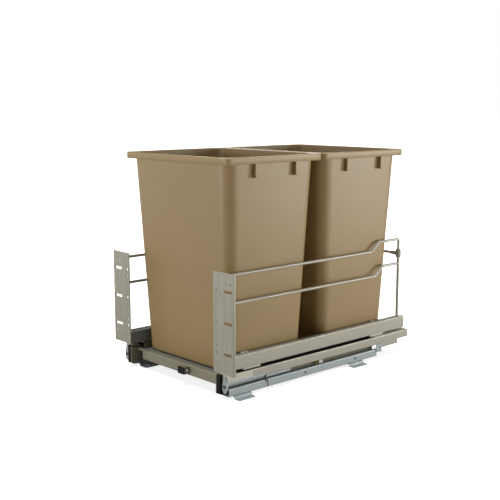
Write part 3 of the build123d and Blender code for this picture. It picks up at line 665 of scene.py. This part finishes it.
# Folded, plated and moulded pieces keep their CAD shape and get softened edges.
softEdge = {"painted_steel": 0.35, "zinc_steel": 0.25, "dark_steel": 0.25, "black_plastic": 0.4,
            "grey_plastic": 0.4, "cream_plastic": 0.4, "white_nylon": 0.3, "bright_steel": 0.2, "brass": 0.2}
ownEdge = {"door_bracket_left": 0.15, "door_bracket_right": 0.15}  # thin plate with crisp holes
# edges shorter than a sliver keep bevels from opening, and faces within flatDegrees count as one;
# a bevel is divided by one narrowing after the other until no face is crossed
edgeRules = {"sliver": 0.02, "flatDegrees": 0.5, "bevelDegrees": 40, "segments": 2,
             "narrowings": (1, 2, 4, 8, 16), "crossedShare": 1.01, "crossedArea": 1e-9}


def crossed(mesh):
    # a face whose outline crosses itself covers more in triangles than it measures
    r = edgeRules
    mesh.calc_loop_triangles()
    covered = [0.0] * len(mesh.polygons)
    for part in mesh.loop_triangles:
        covered[part.polygon_index] += part.area
    return any(covered[face.index] > face.area * r["crossedShare"] + r["crossedArea"]
               for face in mesh.polygons if len(face.vertices) > 4)


def bevelled(holder, width):
    bevel = holder.modifiers.new("edge", "BEVEL")
    bevel.width = width * mm
    bevel.segments = edgeRules["segments"]
    bevel.limit_method = "ANGLE"
    bevel.angle_limit = math.radians(edgeRules["bevelDegrees"])
    bevel.use_clamp_overlap = False
    weighted = holder.modifiers.new("shade", "WEIGHTED_NORMAL")
    weighted.keep_sharp = True
    return settled(holder)


def plainFaces(name):
    # the CAD mesh with its triangles joined to whole faces and parted where a finish ends
    mesh = nodes[name].data.copy()
    mesh.materials.clear()
    form = bmesh.new()
    form.from_mesh(mesh)
    bmesh.ops.remove_doubles(form, verts=form.verts, dist=edgeRules["sliver"] * mm)
    bmesh.ops.dissolve_limit(form, angle_limit=math.radians(edgeRules["flatDegrees"]),
                             verts=form.verts, edges=form.edges)
    for depth in finishCuts(name):
        everything = form.verts[:] + form.edges[:] + form.faces[:]
        bmesh.ops.bisect_plane(form, geom=everything, plane_co=(0, depth * mm, 0), plane_no=(0, 1, 0))
    form.to_mesh(mesh)
    form.free()
    mesh.shade_smooth()
    return mesh


def softCopy(name):
    slot = slotOf[name]
    holder = bpy.data.objects.new(name + "Holder", plainFaces(name))
    bpy.context.scene.collection.objects.link(holder)
    for narrowing in edgeRules["narrowings"]:
        result = bevelled(holder, ownEdge.get(name, softEdge[slot]) / narrowing)
        if not crossed(result):
            break
    bpy.data.objects.remove(holder)
    low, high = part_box(name)
    for vertex in result.vertices:  # a bevel may not reach out of the piece's own box
        vertex.co = [min(max(c, a), b) for c, a, b in zip(vertex.co, low, high)]
    result.materials.clear()
    if name in ownFinish:
        result.materials.append(ownFinish[name])
    for start, paint in partFinish.items():
        if name.startswith(start):
            paint(result, name)
    addPiece(name + "Soft", result, bodyOf[name], slot, name)


for name in sorted(nodes):
    if not (name.startswith("bin_") or name == "ledge_screws" or "wire" in name and "clip" not in name):
        softCopy(name)
print("edges softened")


# Studio: a pale floor that the camera sees as white, and dim room light, so that gaps and insides stay dark.
studio = {"floor": "B4B4B4", "floorSize": 40.0, "floorGlow": 0.75,
          "roomLight": 0.02, "roomShine": 0.2, "roomSeen": 1.0}
white = (1, 1, 1, 1)


def makeRoom():
    world = bpy.data.worlds.new("studioRoom")
    bpy.context.scene.world = world
    world.use_nodes = True
    tree = world.node_tree
    tree.nodes.clear()
    ray = addNode(tree, "ShaderNodeLightPath")
    light, shine, seen = (addNode(tree, "ShaderNodeBackground", {"Color": white, "Strength": studio[key]})
                          for key in ("roomLight", "roomShine", "roomSeen"))
    mirrored = addNode(tree, "ShaderNodeMixShader", None,
                       {0: (ray, "Is Glossy Ray"), 1: (light, "Background"), 2: (shine, "Background")})
    whole = addNode(tree, "ShaderNodeMixShader", None,
                    {0: (ray, "Is Camera Ray"), 1: (mirrored, "Shader"), 2: (seen, "Background")})
    addNode(tree, "ShaderNodeOutputWorld", None, {"Surface": (whole, "Shader")})


# Floor paper: matt pale grey for the light that it throws back,
# and white with the object's shadow for the camera.
def floorPaper():
    material = bpy.data.materials.new("floorPaper")
    material.use_nodes = True
    tree = material.node_tree
    tree.nodes.clear()
    paper = addNode(tree, "ShaderNodeBsdfDiffuse", {"Color": linear(studio["floor"])})
    pale = addNode(tree, "ShaderNodeBsdfDiffuse", {"Color": white})
    glow = addNode(tree, "ShaderNodeEmission", {"Color": white, "Strength": studio["floorGlow"]})
    bright = addNode(tree, "ShaderNodeAddShader", None, {0: (pale, "BSDF"), 1: (glow, "Emission")})
    ray = addNode(tree, "ShaderNodeLightPath")
    mixed = addNode(tree, "ShaderNodeMixShader", None,
                    {0: (ray, "Is Camera Ray"), 1: (paper, "BSDF"), 2: (bright, "Shader")})
    addNode(tree, "ShaderNodeOutputMaterial", None, {"Surface": (mixed, "Shader")})
    return material


def makeFloor():
    half = studio["floorSize"] / 2
    mesh = bpy.data.meshes.new("studioFloor")
    corners = [(-half, -half, 0), (half, -half, 0), (half, half, 0), (-half, half, 0)]
    mesh.from_pydata(corners, [], [(0, 1, 2, 3)])
    mesh.materials.append(floorPaper())
    floor = bpy.data.objects.new("studioFloor", mesh)
    bpy.context.scene.collection.objects.link(floor)


# Five soft boxes round the unit and a weak skylight.
# Azimuth 0 is straight in front of the unit, 90 is on its right.
lamps = {
    "boxLeft": {"kind": "AREA", "azimuth": -16, "away": 3.2, "height": 0.5, "size": 1.6, "power": 52},
    "boxSide": {"kind": "AREA", "azimuth": -62, "away": 3.2, "height": 0.6, "size": 1.2, "power": 10},
    "boxRight": {"kind": "AREA", "azimuth": 101, "away": 3.0, "height": 0.45, "size": 0.9, "power": 20},
    "boxRear": {"kind": "AREA", "azimuth": 137, "away": 3.0, "height": 0.45, "size": 1.0, "power": 37},
    "boxBack": {"kind": "AREA", "azimuth": -133, "away": 3.0, "height": 0.66, "size": 0.9, "power": 20},
    "skylight": {"kind": "SUN", "azimuth": 0, "away": 0.0, "height": 3.0, "size": 0.5, "power": 2.6},
}
lampAim = (0, 0, 0.25)  # about the middle of the unit


def makeLamps():
    for name, lamp in lamps.items():
        light = bpy.data.lights.new(name, lamp["kind"])
        if lamp["kind"] == "SUN":
            light.angle = lamp["size"]
        else:
            light.size = lamp["size"]
        light.energy = lamp["power"]
        holder = bpy.data.objects.new(name, light)
        turn = math.radians(lamp["azimuth"])
        holder.location = (lamp["away"] * math.sin(turn), -lamp["away"] * math.cos(turn), lamp["height"])
        aim = Vector(lampAim) - holder.location
        holder.rotation_euler = aim.to_track_quat("-Z", "Y").to_euler()
        bpy.context.scene.collection.objects.link(holder)


# The camera was fitted to the photo; its place is measured from the bracket face.
view = {"at": (1.5360, -1.1688, 0.5993), "azimuth": 47.628, "down": 9.137, "lens": 66.64, "sensor": 36.0}


def makeCamera():
    camera = bpy.data.cameras.new("photoCamera")
    camera.sensor_width = view["sensor"]
    camera.lens = view["lens"]
    holder = bpy.data.objects.new("photoCamera", camera)
    holder.location = Vector(view["at"]) - Vector((0, halfDepth * mm, 0))
    holder.rotation_euler = (math.radians(90 - view["down"]), 0, math.radians(view["azimuth"]))
    bpy.context.scene.collection.objects.link(holder)
    bpy.context.scene.camera = holder
    bpy.context.scene.view_settings.view_transform = "Standard"


makeRoom()
makeFloor()
makeLamps()
makeCamera()
print("studio set")

bpy.context.view_layer.update()
